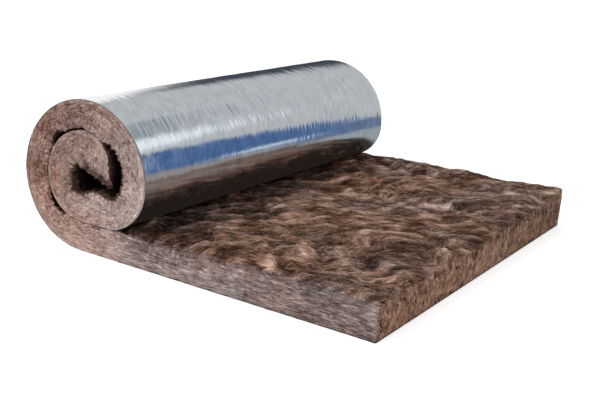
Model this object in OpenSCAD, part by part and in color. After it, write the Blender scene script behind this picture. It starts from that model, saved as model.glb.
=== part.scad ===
// Insulation roll: a mineral wool blanket with foil on one face.
// The blanket is wound into a roll, foil outwards, and its outer end is pulled out flat,
// so that the roll sits on its own flap. X runs along the flap, Y along the roll, Z is up.

/* [Blanket] */
// Width of the blanket, which is the length of the roll
blanket_w = 1200; // [300:10:1500]
// Thickness of the wool where it lies free on the flap
blanket_t = 90; // [75:1:140]
// Thickness of the wool where winding has squeezed it
wound_t = 70.5; // [50:0.5:74]
// Thickness of the foil laminate
foil_t = 0.5; // [0.3:0.1:1]

/* [Roll] */
// Radius of the hollow in the middle of the roll
core_r = 39; // [20:1:80]
// Whole turns outside the innermost half turn
full_turns = 1; // [1:1:3]
// Widest part of the crescent gap inside the outer turn
crescent_gap = 12; // [2:1:20]

/* [Flap] */
// Length of the flap, from the roll's axis to the cut end
flap_l = 790; // [450:10:2000]
// Rounding of the cut end's top edge
cut_edge_r = 8; // [1:1:20]

/* [Inner end] */
// Gap that opens between the loose inner end and the turn around it
end_gap = 25; // [5:1:35]
// How far the tip of the inner end reaches past level, in degrees
end_reach = 27; // [5:1:40]
// Slope of the torn inner end, in degrees
end_slant = 22; // [5:1:30]

/* [Hidden] */
$fn = 128;

// Each turn steps in by one wound thickness of wool and foil
pitch = wound_t + foil_t;
inner_r = core_r + pitch;
roll_r = inner_r + full_turns * pitch;
// Larger than any half of the section, for cutting away quarters and halves
reach = flap_l + 2 * roll_r;
// The loose inner end curls more tightly than the turn that it leaves
end_r = inner_r - end_gap;
end_axis_z = roll_r + end_gap;
end_tip = [end_r * cos(end_reach), end_axis_z - end_r * sin(end_reach)];
// Circle of the crescent's outer side, through the top and bottom of the second turn
second_r = roll_r - pitch;
crescent_shift = crescent_gap * (2 * second_r + crescent_gap) / (2 * (second_r + crescent_gap));
crescent_r = second_r + crescent_gap - crescent_shift;
// The origin is under the middle of the roll and flap
middle_x = (flap_l - roll_r) / 2;

module ring(r_out, r_in) {
    difference() {
        circle(r_out);
        circle(r_in);
    }
}

module left_half() translate([-reach, -reach]) square([reach, 2 * reach]);
module right_half() translate([0, -reach]) square([reach, 2 * reach]);
module lower_right() translate([0, -reach]) square([reach, reach]);

// Three quarters of a turn about the roll's axis, from the bottom round to the right
module open_turn(r_out, r_in) {
    translate([0, roll_r]) difference() {
        ring(r_out, r_in);
        lower_right();
    }
}

// The rest of a turn: a tighter quarter that tucks in under the roll, and the flat that the roll sits on
module tuck(turn, top, bottom) {
    r = roll_r - turn * pitch;
    translate([pitch, roll_r]) intersection() {
        ring(r - top, r - bottom);
        lower_right();
    }
    translate([0, turn * pitch + top]) square([pitch, bottom - top]);
}

// The band of the winding that lies between two depths under the foil's face
module winding(top, bottom) {
    for (turn = [0 : full_turns - 1]) {
        r = roll_r - turn * pitch;
        open_turn(r - top, r - bottom);
        tuck(turn + 1, top, bottom);
    }
    translate([0, roll_r]) intersection() {
        ring(inner_r - top, inner_r - bottom);
        left_half();
    }
}

// Gap on the left, where the outer turn stands off the turn inside it
module crescent() {
    intersection() {
        difference() {
            translate([-crescent_shift, roll_r]) circle(crescent_r);
            translate([0, roll_r]) circle(second_r);
        }
        left_half_at_axis();
    }
}

module left_half_at_axis() translate([0, roll_r]) left_half();
module right_half_at_axis() translate([0, roll_r]) right_half();

// Everything above the sloping torn face of the inner end
module above_torn_face() {
    translate(end_tip) rotate(-end_slant) translate([-reach, 0]) square([2 * reach, reach]);
}

// Loose inner end, swollen into the hollow as far as its torn face
module inner_end_wool() {
    intersection() {
        union() {
            intersection() {
                translate([0, end_axis_z]) circle(end_r - foil_t);
                right_half_at_axis();
            }
            intersection() {
                translate([0, roll_r]) circle(core_r);
                left_half_at_axis();
            }
        }
        above_torn_face();
    }
}

module inner_end_foil() {
    intersection() {
        translate([0, end_axis_z]) ring(end_r, end_r - foil_t);
        right_half_at_axis();
        above_torn_face();
    }
}

// Flap of the blanket, with the roll's weight pressed into it
module flap_wool() {
    difference() {
        translate([0, foil_t]) square([flap_l, blanket_t - foil_t]);
        translate([pitch, roll_r]) circle(second_r);
        translate([0, pitch]) square([pitch, roll_r]);
        translate([flap_l - cut_edge_r, blanket_t - cut_edge_r]) difference() {
            square(2 * cut_edge_r);
            circle(cut_edge_r);
        }
    }
}

// Draws a section of the roll across the whole width of the blanket
module across_width() {
    translate([-middle_x, 0, 0]) rotate([90, 0, 0])
        linear_extrude(height = blanket_w, center = true) children();
}

module wool_blanket() {
    color("#7d6154") across_width() {
        difference() {
            union() {
                winding(foil_t, pitch);
                flap_wool();
                inner_end_wool();
            }
            crescent();
        }
    }
}

module foil_facing() {
    color("#c3c8cc") across_width() {
        winding(0, foil_t);
        square([flap_l, foil_t]);
        inner_end_foil();
    }
}

wool_blanket();
foil_facing();
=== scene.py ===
import bpy
import math
import numpy as np
from mathutils import Matrix, Vector


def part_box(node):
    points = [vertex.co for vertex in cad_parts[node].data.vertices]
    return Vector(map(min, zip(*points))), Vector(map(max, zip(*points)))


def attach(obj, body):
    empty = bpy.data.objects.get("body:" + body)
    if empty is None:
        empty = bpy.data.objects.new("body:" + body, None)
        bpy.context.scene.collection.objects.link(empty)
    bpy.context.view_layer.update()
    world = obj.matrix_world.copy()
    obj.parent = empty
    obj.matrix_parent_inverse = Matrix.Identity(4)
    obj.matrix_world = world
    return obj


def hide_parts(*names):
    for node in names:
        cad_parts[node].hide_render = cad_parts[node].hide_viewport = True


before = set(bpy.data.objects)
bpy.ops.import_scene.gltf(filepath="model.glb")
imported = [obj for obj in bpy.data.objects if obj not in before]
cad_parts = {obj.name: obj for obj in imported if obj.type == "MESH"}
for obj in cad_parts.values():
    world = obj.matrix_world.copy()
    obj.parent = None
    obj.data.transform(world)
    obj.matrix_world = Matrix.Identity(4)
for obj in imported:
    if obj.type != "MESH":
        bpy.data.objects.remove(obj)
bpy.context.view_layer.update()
print("frame loaded:", ", ".join(sorted(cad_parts)))

# sizes read off the solids
foilLow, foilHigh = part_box("foil_facing")
rollRadius = (foilHigh.z - foilLow.z) / 2
axisX = foilLow.x + rollRadius
axisZ = foilLow.z + rollRadius
cutX = foilHigh.x
halfWide = foilHigh.y
flapLength = cutX - axisX

# how the blanket is wound, the same on wool and foil
winding = {
    "pitch": 0.071,       # from one turn in to the next
    "foilThick": 0.0005,
    "endGap": 0.025,      # loose inner end off the turn around it
    "endReach": 27,       # degrees that its tip hangs past level
    "endSlant": 22,       # slope of its torn face
    "endWaste": 0.009,    # how far it has thinned beside the gap
    "wasteAt": (8, 32),   # degrees, middle and spread of that
}
pitch = winding["pitch"]
secondRadius = rollRadius - pitch
coreRadius = secondRadius - pitch
endRadius = secondRadius - winding["endGap"]
endAxisZ = axisZ + winding["endGap"]
endReach = math.radians(winding["endReach"])
tipX = axisX + endRadius * math.cos(endReach)
tipZ = endAxisZ - endRadius * math.sin(endReach)


# small helpers for numbers and noise

def ease(low, high, value):
    t = np.clip((value - low) / (high - low), 0, 1)
    return t * t * (3 - 2 * t)


def hump(centre, spread, value):
    return np.exp(-((value - centre) / spread) ** 2)


def mix(ends, share):
    return ends[0] + (ends[1] - ends[0]) * share


def dice(ix, iy, seed):  # one fixed random number, 0 to 1, for each lattice point
    h = (ix * 374761393 + iy * 668265263 + seed * 974634777) & 0xFFFFFFFF
    h = ((h ^ (h >> 13)) * 1274126177) & 0xFFFFFFFF
    h = ((h ^ (h >> 15)) * 2246822519) & 0xFFFFFFFF
    return (h ^ (h >> 16)) / 4294967296.0


def grain(u, v, seed):  # smooth gradient noise, about -1 to 1
    u, v = np.broadcast_arrays(np.asarray(u, float), np.asarray(v, float))
    iu = np.floor(u).astype(np.int64)
    iv = np.floor(v).astype(np.int64)
    fu, fv = u - iu, v - iv
    su = fu ** 3 * (fu * (fu * 6 - 15) + 10)
    sv = fv ** 3 * (fv * (fv * 6 - 15) + 10)
    total = 0
    for du in (0, 1):
        for dv in (0, 1):
            turn = dice(iu + du, iv + dv, seed) * 2 * math.pi
            slope = np.cos(turn) * (fu - du) + np.sin(turn) * (fv - dv)
            total = total + slope * (su if du else 1 - su) * (sv if dv else 1 - sv)
    return total * 1.5


def clumps(u, v, seed, octaves=3):
    total, size, weight = 0, 1.0, 1.0
    for k in range(octaves):
        total = total + weight * grain(u * size, v * size, seed + 31 * k)
        size *= 2.1
        weight *= 0.5
    return total / 1.6


def sized(u, v, size):  # place in a pattern of this size
    return u / size[0], v / size[1]


def between(rng, limits, count):
    return mix(limits, rng.random(count))


def unit(a):
    return a / np.maximum(np.linalg.norm(a, axis=-1, keepdims=True), 1e-12)


def rgb(red, green, blue):  # screen colour, 0 to 255, as Blender's linear colour
    out = []
    for c in (red / 255, green / 255, blue / 255):
        out.append(c / 12.92 if c <= 0.04045 else ((c + 0.055) / 1.055) ** 2.4)
    return (*out, 1.0)


# small helpers for meshes

def addPiece(name, points, faces, materials, kinds=None):
    data = bpy.data.meshes.new(name)
    data.from_pydata(points, [], faces)
    for material in materials:
        data.materials.append(material)
    if kinds is not None:
        data.polygons.foreach_set("material_index", kinds)
    data.polygons.foreach_set("use_smooth", [True] * len(data.polygons))
    data.update()
    piece = bpy.data.objects.new(name, data)
    bpy.context.scene.collection.objects.link(piece)
    return piece


def paint(piece, name, values, domain="POINT"):  # stores one number or vector for each point or corner
    values = np.asarray(values, np.float32)
    kind = "FLOAT" if values.ndim == 1 else "FLOAT_VECTOR"
    layer = piece.data.attributes.new(name, kind, domain)
    layer.data.foreach_set("value" if kind == "FLOAT" else "vector", values.ravel())


def readAll(rows, name, width=1):  # one whole number, or a few decimals, for each row of a mesh's table
    values = np.zeros(len(rows) * width, np.int64 if width == 1 else float)
    rows.foreach_get(name, values)
    return values if width == 1 else values.reshape(-1, width)


class Builder:  # collects points and faces, and stitches rows of unlike counts
    def __init__(self):
        self.points = []
        self.count = 0
        self.faces = []
        self.kinds = []

    def add(self, block):
        block = np.asarray(block, float)
        index = np.arange(self.count, self.count + block.size // 3)
        self.points.append(block.reshape(-1, 3))
        self.count += len(index)
        return index.reshape(block.shape[:-1])

    def face(self, corners, kind):
        self.faces.append(tuple(int(c) for c in corners))
        self.kinds.append(kind)

    def grid(self, index, kind, flip=False):
        a, b = index[:-1, :-1].ravel(), index[1:, :-1].ravel()
        c, d = index[1:, 1:].ravel(), index[:-1, 1:].ravel()
        quads = np.stack((a, d, c, b) if flip else (a, b, c, d), 1)
        self.faces += [tuple(q) for q in quads.tolist()]
        self.kinds += [kind] * len(quads)

    def stitch(self, rowA, rowB, kind, flip=False):  # both rows run the same way
        if len(rowA) == len(rowB):
            self.grid(np.stack((rowA, rowB)), kind, flip)
            return
        i = j = 0
        lastA, lastB = len(rowA) - 1, len(rowB) - 1
        while i < lastA or j < lastB:
            if j == lastB or (i < lastA and (i + 1) * lastB <= (j + 1) * lastA):
                tri = (rowA[i], rowB[j], rowA[i + 1])
                i += 1
            else:
                tri = (rowA[i], rowB[j], rowB[j + 1])
                j += 1
            self.face(tri[::-1] if flip else tri, kind)

    def piece(self, name, materials):
        return addPiece(name, np.concatenate(self.points).tolist(), self.faces, materials, self.kinds)


# section of the roll, as a run of stations from the cut end of the flap to the torn inner end

def turnPoints(centreX, centreZ, radius, angles):
    return np.stack((centreX + radius * np.cos(angles), centreZ + radius * np.sin(angles)), -1)


def turnAngles(start, end, radius, step):
    count = max(2, int(round(abs(end - start) * radius / step)))
    return start + (end - start) * np.arange(count) / count


def rollStations(step, flapStep):
    deg = math.radians
    runs = []
    flapCount = int(round(flapLength / flapStep))
    flapX = cutX - flapLength * np.arange(flapCount) / flapCount
    runs.append(("flap", np.stack((flapX, flapX * 0), -1), flapX))
    angles = turnAngles(deg(270), deg(0), rollRadius, step)
    runs.append(("outer", turnPoints(axisX, axisZ, rollRadius, angles), angles))
    angles = turnAngles(deg(0), deg(-90), secondRadius, step)
    runs.append(("tuck", turnPoints(axisX + pitch, axisZ, secondRadius, angles), angles))
    flatCount = int(round(pitch / step))
    flatX = axisX + pitch - pitch * np.arange(flatCount) / flatCount
    runs.append(("flat", np.stack((flatX, flatX * 0 + pitch), -1), flatX))
    angles = turnAngles(deg(270), deg(90), secondRadius, step)
    runs.append(("inner", turnPoints(axisX, axisZ, secondRadius, angles), angles))
    angles = turnAngles(deg(90), -endReach, endRadius, step)
    at, spread = winding["wasteAt"]
    radius = endRadius - winding["endWaste"] * hump(deg(at), deg(spread), angles)
    runs.append(("loose", turnPoints(axisX, endAxisZ, radius, angles), angles))
    return runs


def inwardOf(run, angles):  # unit direction from the foil into the wool
    if run in ("flap", "flat"):
        return np.stack((angles * 0, angles * 0 + 1), -1)
    return np.stack((-np.cos(angles), -np.sin(angles)), -1)


# the flap's top: a matted fleece whose fibres lie across the flap in eddies

flapLook = {
    "nearLoft": (0.080, 0.092),     # height by the roll and at the cut end, near edge
    "farLoft": (0.086, 0.110),      # the same along the far edge
    "lay": 52,                      # degrees from the flap's length that the fibres lie
    "swirls": ((0.34, 0.100), (0.13, 0.030), (0.055, 0.011)),   # size and push of the eddies
    "swell": 0.008,                 # broad ups and downs
    "swellSize": (0.17, 0.17),
    "lump": 0.006,                  # matted lumps
    "lumpSize": (0.030, 0.085),     # across and along the lay, as the next sizes are
    "lock": 0.008,                  # rounded locks with partings between them
    "lockSize": (0.026, 0.085),
    "smallLockSize": (0.012, 0.050),
    "pit": 0.005,                   # hollows torn into the mat
    "pitSize": (0.032, 0.065),
    "toneSize": (0.042, 0.090),     # light and dark clumps
    "patchSize": (0.050, 0.090),    # lightest patches
    "clumpTone": 2.5,               # how much each of these lightens or darkens the top
    # painted shade in the hollows
    "pitShade": 0.8,
    # painted light along the locks and painted shade in the partings between them
    "lockShading": 2.6,
    "patchTone": 1.5,
    "edgeTone": 0.1,
    "plainTone": -0.32,
    "slump": (0.011, 0.003),        # how far the edges sink, in general and along the far edge
    "slumpReach": 0.04,
    "edgeWave": 0.006,              # ups and downs of the edges
    "edgeWaveSize": (0.06, 0.06),
    "edgeWaveReach": 0.05,
    "comb": 0.0035,                 # raggedness of the cut edge
    "combSize": (0.009, 0.030),
    "combReach": 0.012,
    "nipShade": 2.2,                # darker under the roll
    "nipReach": (0.12, 0.36),       # where that fades, from the roll's axis
    "starts": 0.1,                  # the flap's own look starts here, from the axis
    "stops": 0.15,                  # and stops at this height
}


def onFlap(x, z):
    return (x > axisX + flapLook["starts"]) & (z < flapLook["stops"])


def layAt(x, y):  # across and along the lay, bent by the eddies
    lay = math.radians(flapLook["lay"])
    across = y * math.cos(lay) - x * math.sin(lay)
    along = x * math.cos(lay) + y * math.sin(lay)
    for k, (size, push) in enumerate(flapLook["swirls"]):
        across = across + push * grain(x / size, y / size, 11 + k)
        along = along + push * grain(x / size, y / size, 21 + k)
    return across, along


def headingAt(x, y):  # angle from +X that the fibres point along
    e = 0.002
    gx = layAt(x + e, y)[0] - layAt(x - e, y)[0]
    gy = layAt(x, y + e)[0] - layAt(x, y - e)[0]
    return np.arctan2(-gx, gy)


def pitAt(across, along):  # 1 in the hollows
    return ease(0.12, 0.60, grain(*sized(across, along, flapLook["pitSize"]), 47))


def lockAt(across, along):  # 0 in the partings to 1 along the locks
    broad = np.abs(grain(*sized(across, along, flapLook["lockSize"]), 45))
    small = np.abs(grain(*sized(across, along, flapLook["smallLockSize"]), 46))
    return np.minimum(1.7 * (0.65 * broad + 0.35 * small), 1)


def toneAt(x, y):  # about -1 with the painted shade in the hollows, in the partings and under the roll, to 1 on the light patches
    across, along = layAt(x, y)
    tone = flapLook["clumpTone"] * clumps(*sized(across, along, flapLook["toneSize"]), 63, 2)
    # painted shade in the hollows, and painted light and shade over the locks and their partings
    tone = tone - flapLook["pitShade"] * pitAt(across, along)
    tone = tone + flapLook["lockShading"] * (lockAt(across, along) - 0.47) + flapLook["plainTone"]
    patches = ease(0.25, 0.7, grain(*sized(across, along, flapLook["patchSize"]), 65))
    tone = tone + flapLook["patchTone"] * patches
    tone = tone - flapLook["edgeTone"] * (1 - ease(0, flapLook["slumpReach"], halfWide - np.abs(y)))
    nipStart, nipEnd = flapLook["nipReach"]
    return tone - flapLook["nipShade"] * (1 - ease(axisX + nipStart, axisX + nipEnd, x))


def rollUnderside(x):
    u = np.clip(x - axisX - pitch, 0, None)
    under = axisZ - np.sqrt(np.clip(secondRadius ** 2 - u ** 2, 0, None))
    return np.where(u < secondRadius, under, 10.0)   # open sky past the roll


def flapTop(x, y):
    run = np.clip((x - axisX) / flapLength, 0, 1)
    side = np.clip((y + halfWide) / (2 * halfWide), 0, 1)
    near, far = mix(flapLook["nearLoft"], run), mix(flapLook["farLoft"], run)
    across, along = layAt(x, y)
    edge = np.minimum(cutX - x, halfWide - np.abs(y))
    inner = ease(0, flapLook["slumpReach"], edge)
    relief = flapLook["lump"] * clumps(*sized(across, along, flapLook["lumpSize"]), 43)
    relief = relief + flapLook["lock"] * (lockAt(across, along) - 0.45)
    relief = relief - flapLook["pit"] * pitAt(across, along)
    z = mix((near, far), side ** 1.2) + (0.4 + 0.6 * inner) * relief
    z = z + flapLook["swell"] * clumps(*sized(x, y, flapLook["swellSize"]), 51)
    z = z - mix(flapLook["slump"], ease(0.8, 1, side) * run) * (1 - inner) ** 2
    wave = flapLook["edgeWave"] * clumps(*sized(x, y, flapLook["edgeWaveSize"]), 55, 2)
    z = z + wave * (1 - ease(0, flapLook["edgeWaveReach"], edge))
    comb = flapLook["comb"] * grain(*sized(y, x, flapLook["combSize"]), 53)
    z = z + comb * (1 - ease(0, flapLook["combReach"], cutX - x))
    return np.minimum(z, rollUnderside(x) - 0.001)


# wool blanket

wool = {
    "step": 0.0036,         # spacing of stations round the roll
    "flapStep": 0.0042,
    "flapColumns": 286,     # across the flap's top
    "fineFrom": 0.112,      # where those columns start, from the roll's axis
    "layers": 20,           # through the thickness
    "rag": 0.0060,          # raggedness of the free face round the gaps
    "spikeSize": (0.024, 0.050),
    "ragSize": ((0.034, 0.040), (0.014, 0.025)),   # its clumps and its threads
    "endRelief": 0.0032,    # relief of the end faces
    "endGrain": {           # sizes of its parts, along the blanket and through it
        "clumps": (0.026, 0.014), "threads": (0.030, 0.0055), "pits": (0.022, 0.007),
        "crimps": (0.016, 0.060), "broad": (0.060, 0.040), "plies": (0.070, 0.0052),
    },
    "rollEnds": (0.15, 0.60),    # where the roll's look gives way to the side's, from the axis
    "bevel": (0.006, 0.018),     # how far the ends round off beside a gap, and at the loose end
    "rimReach": 0.016,      # how far the sides' greyer wool reaches over the flap's edges
    "cornerReach": 0.014,   # and round the corners of the cut end
    "fray": 0.0030,         # unevenness of the roll's outline at its ends
    "frayReach": (0.012, 0.050),   # how far in it fades
    "fraySize": (0.034, 0.009),    # its clumps and its threads
    "tornBack": 0.0080,     # notches in the back of the loose inner end
    "notchSize": ((0.019, 0.060), (0.009, 0.040)),
    "cutClump": 0.0035,     # relief of the cut end: clumps, upright ridges and pits
    "cutClumpSize": (0.030, 0.016),
    "cutRidge": 0.0044,
    "cutRidgeSize": (0.0085, 0.060),
    "cutPit": 0.006,
    "cutPitSize": (0.016, 0.014),
    "cutLean": 0.003,       # how far its upper edge sits back
    # places round the axis, in degrees; a swell is a middle, a spread and a depth
    "gapSwells": ((138, 10, 0.013), (226, 12, 0.010)),   # where the crescent gap is wide
    "gapPlain": 0.004,      # the crescent elsewhere
    "gapOpens": (82, 96),
    "gapShuts": (240, 248),
    "gapRagged": 0.006,     # from this width on its edge is torn
    "slotShuts": (54, 62),  # the slot behind the loose end
    "slotSwell": (25, 24, 0.006),
    "hollowSwell": (236, 24, 0.010),
    "floorSwell": (0.038, 0.022, 0.010),   # the hollow's floor, in metres from the axis
    "tornMeets": 134,       # where the torn face meets the hollow's round
    "tornMiddle": 0.004,    # its middle lies this far left of the axis
}
hiddenColumns = np.array([0, 0.004, 0.010, 0.022, 0.05, 0.11, 0.25, 0.55, 0.85, 1.0])


def tornFace(x):  # slopes down to the loose end's tip
    return np.stack((x, tipZ + (tipX - x) * math.tan(math.radians(winding["endSlant"]))), -1)


def freeSide(run, where, y):  # base of the free face and how ragged it is there
    shape = np.broadcast(where, y).shape
    where = np.broadcast_to(where, shape)
    y = np.broadcast_to(y, shape)
    if run == "flap":
        return np.stack((where, flapTop(where, y)), -1), np.zeros(shape)
    ragged = np.ones(shape)
    if run == "outer":
        degrees = np.degrees(where)
        gap = wool["gapPlain"] * ease(*wool["gapOpens"], degrees) * (1 - ease(*wool["gapShuts"], degrees))
        for at, spread, depth in wool["gapSwells"]:
            gap = gap + depth * hump(at, spread, degrees)
        loose = endRadius ** 2 - (winding["endGap"] * np.cos(where)) ** 2
        loose = winding["endGap"] * np.sin(where) + np.sqrt(loose)
        opened = 1 - ease(*wool["slotShuts"], degrees)
        at, spread, depth = wool["slotSwell"]
        right = mix((loose, secondRadius + depth * hump(at, spread, degrees)), opened)
        radius = np.where(degrees < 90, right, secondRadius + gap)
        ragged = np.where(degrees < 90, opened, np.clip(gap / wool["gapRagged"], 0, 1))
        return turnPoints(axisX, axisZ, radius, where), ragged
    if run == "tuck":
        return turnPoints(axisX + pitch, axisZ, coreRadius, where), ragged
    if run == "flat":
        at, spread, depth = wool["floorSwell"]
        return np.stack((where, 2 * pitch + depth * hump(axisX + at, spread, where)), -1), ragged
    middleX = axisX - wool["tornMiddle"]
    if run == "loose":
        share = np.clip((math.pi / 2 - where) / (math.pi / 2 + endReach), 0, 1)
        return tornFace(mix((middleX, tipX), share)), ragged
    at, spread, depth = wool["hollowSwell"]
    radius = coreRadius + depth * hump(math.radians(at), math.radians(spread), where)
    meet = math.radians(wool["tornMeets"])
    share = np.clip((meet - where) / (meet - math.pi / 2), 0, 1)
    torn = tornFace(mix((axisX + coreRadius * math.cos(meet), middleX), share))
    return np.where((where < meet)[..., None], torn, turnPoints(axisX, axisZ, radius, where)), ragged


# how far an end face stands proud, and how dark it is: painted shade where its relief sinks, painted light
# where it rises, and a painted highlight along the roll's outer rim
def endRelief(s, depth, thick, rollShare, free, bevel, rim, seed):
    size = wool["endGrain"]
    relief = 0.55 * clumps(*sized(s, depth, size["clumps"]), seed)
    relief = relief + 0.35 * grain(*sized(s, depth, size["threads"]), seed + 5)
    pits = ease(0.28, 0.6, grain(*sized(s, depth, size["pits"]), seed + 9))
    crimps = 1 - ease(0.0, 0.22, np.abs(grain(*sized(s, depth, size["crimps"]), seed + 11)))
    crimps = crimps * ease(0.35, 0.75, depth / max(thick, 0.001)) * rollShare
    broad = clumps(*sized(s, depth, size["broad"]), seed + 13, 2)
    plies = grain(*sized(s, depth, size["plies"]), seed + 15) * (1 - 0.6 * rollShare)
    # painted shade in the pits and crimps, painted light on the clumps, swells and plies that stand out
    dark = 0.8 * pits + 0.9 * crimps - 0.7 * relief - 0.8 * broad - 1.2 * plies + 0.06
    # painted highlight along the outer rim, a few millimetres in from the foil
    dark = dark - 0.8 * hump(0.003, 0.003, depth) * rim
    amount = wool["endRelief"] * (0.55 + 0.45 * rollShare)
    out = amount * (relief + 0.6 * broad - 1.0 * pits - 0.9 * crimps + 0.4 * plies)
    matted = 1 - free
    out = out * (1 - matted * (1 - ease(0, 0.010, thick - depth))) * ease(-0.004, 0.006, depth)
    out = out - bevel * free * (1 - ease(0, 0.004 + 1.7 * bevel, thick - depth)) ** 2
    return out - 0.0010 * (1 - ease(0, 0.005, depth)), dark


def frayAt(run, s, y, z, seed):  # how far the wool's outer edge stands out at the ends
    near = 1 - ease(*wool["frayReach"], halfWide - np.abs(y))
    if run == "outer":
        broad, thread = wool["fraySize"]
        loose = clumps(s / broad, 0.3, seed) + 0.5 * grain(s / thread, 0.7, seed + 3)
        return wool["fray"] * loose * ease(0.004, 0.04, z) * (near == 1)
    if run == "loose":
        broad, small = wool["notchSize"]
        notch = np.abs(grain(*sized(s, y, broad), seed))
        notch = notch + 0.6 * np.abs(grain(*sized(s, y, small), seed + 3))
        return -wool["tornBack"] * notch * near
    return 0 * near


def ragAt(s, y):  # torn edge: clumps with sharp spikes that point into the gap
    broad, thread = wool["ragSize"]
    spikes = np.clip(1 - 4 * np.abs(grain(*sized(s, y, wool["spikeSize"]), 61)), 0, 1)
    lumps = 1.1 * clumps(*sized(s, y, broad), 62) + 0.4 * grain(*sized(s, y, thread), 64)
    return wool["rag"] * (0.9 * spikes - 0.45 + lumps)


def cutRough(y, z, t):  # how far the cut end stands out, with the ridges in its upper part
    rough = wool["cutClump"] * clumps(*sized(y, z, wool["cutClumpSize"]), 81)
    rough = rough + wool["cutRidge"] * grain(*sized(y, z, wool["cutRidgeSize"]), 82) * ease(0.2, 0.6, t)
    rough = rough - wool["cutPit"] * ease(0.3, 0.65, grain(*sized(y, z, wool["cutPitSize"]), 83))
    return rough * ease(0, 0.15, t) * ease(0, 0.01, halfWide - np.abs(y)) - wool["cutLean"] * t ** 6


# how light the wool is, as steps up or down its colours

woolShade = {
    "roll": 0.15,                         # the roll's ends
    "rollRight": 0.85,                    # lighter to the right and darker upwards
    "rollUp": 0.75,
    "rollSlope": 1.15,
    "rollMiddle": (0.4, 0.7),             # lighter round the hollow: by how much, and how far in radii
    "rollBlotch": 0.6,
    "rollBlotchSize": (0.075, 0.075),
    "side": -0.55,                        # the flap's sides
    "sideToCut": 0.6,                     # darker towards the cut end
    "sideBlotch": 0.5,
    "sideBlotchSize": (0.12, 0.03),
    "sideLight": (0.25, 0.12, 0.15),      # a lighter stretch: by how much, its middle and its spread
    "sideFootShade": 1.5,                      # painted shade along the floor
    "cutFootShade": 3.5,                       # the same on the cut end
    "footHigh": 0.006,
    "cutHollowShade": 0.0035,                  # painted shade: one step darker for this much depth, on the cut end
    "cornerHollowShade": 0.006,                # and at its corners
    "cutBrow": (0.9, 0.86, 0.98),         # lighter along the top: by how much, and its start and end
    "cutFar": 0.7,                        # darker on the far half
    "cutPit": (2.2, 0.84, 0.14),          # painted shade of small pits, not in the shape: by how much, and their middle and spread
    "cutPitSize": (0.012, 0.011),
    "top": -0.2,                          # the flap's top
    "rim": -0.35,                         # and the sides' wool along its edges
}


def endTone(x, z):
    shade = woolShade
    sideways, height = (x - axisX) / rollRadius, (z - axisZ) / rollRadius
    slope = shade["rollRight"] * sideways - shade["rollUp"] * height
    light, spread = shade["rollMiddle"]
    onRoll = shade["roll"] + shade["rollSlope"] * slope + light * hump(0, spread, np.hypot(sideways, height))
    onRoll = onRoll + shade["rollBlotch"] * clumps(*sized(x, z, shade["rollBlotchSize"]), 66, 2)
    side = shade["side"] - shade["sideToCut"] * ease(0, cutX, x)
    side = side + shade["sideBlotch"] * clumps(*sized(x, z, shade["sideBlotchSize"]), 67, 2)
    light, middle, spread = shade["sideLight"]
    side = side + light * hump(middle, spread, x)
    # painted shade along the floor
    side = side - shade["sideFootShade"] * (1 - ease(0, shade["footHigh"], z))
    return onRoll + (side - onRoll) * ease(0.3, 1.0, sideways) * ease(0.35, 0.6, -height)


def cutTone(x, y, z):
    shade = woolShade
    height = z / flapTop(cutX, y)
    # painted shade: darker the deeper the face lies, and along the floor
    tone = (x - cutX) / shade["cutHollowShade"] - shade["cutFootShade"] * (1 - ease(0, shade["footHigh"], z))
    light, start, end = shade["cutBrow"]
    tone = tone + (light * ease(start, end, height) - shade["cutFar"] * ease(0, halfWide, y))
    # painted shade of small pits high on the cut end
    pits = ease(0.15, 0.5, grain(*sized(y, z, shade["cutPitSize"]), 84))
    dark, middle, spread = shade["cutPit"]
    return tone - dark * pits * hump(middle, spread, height)


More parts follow.
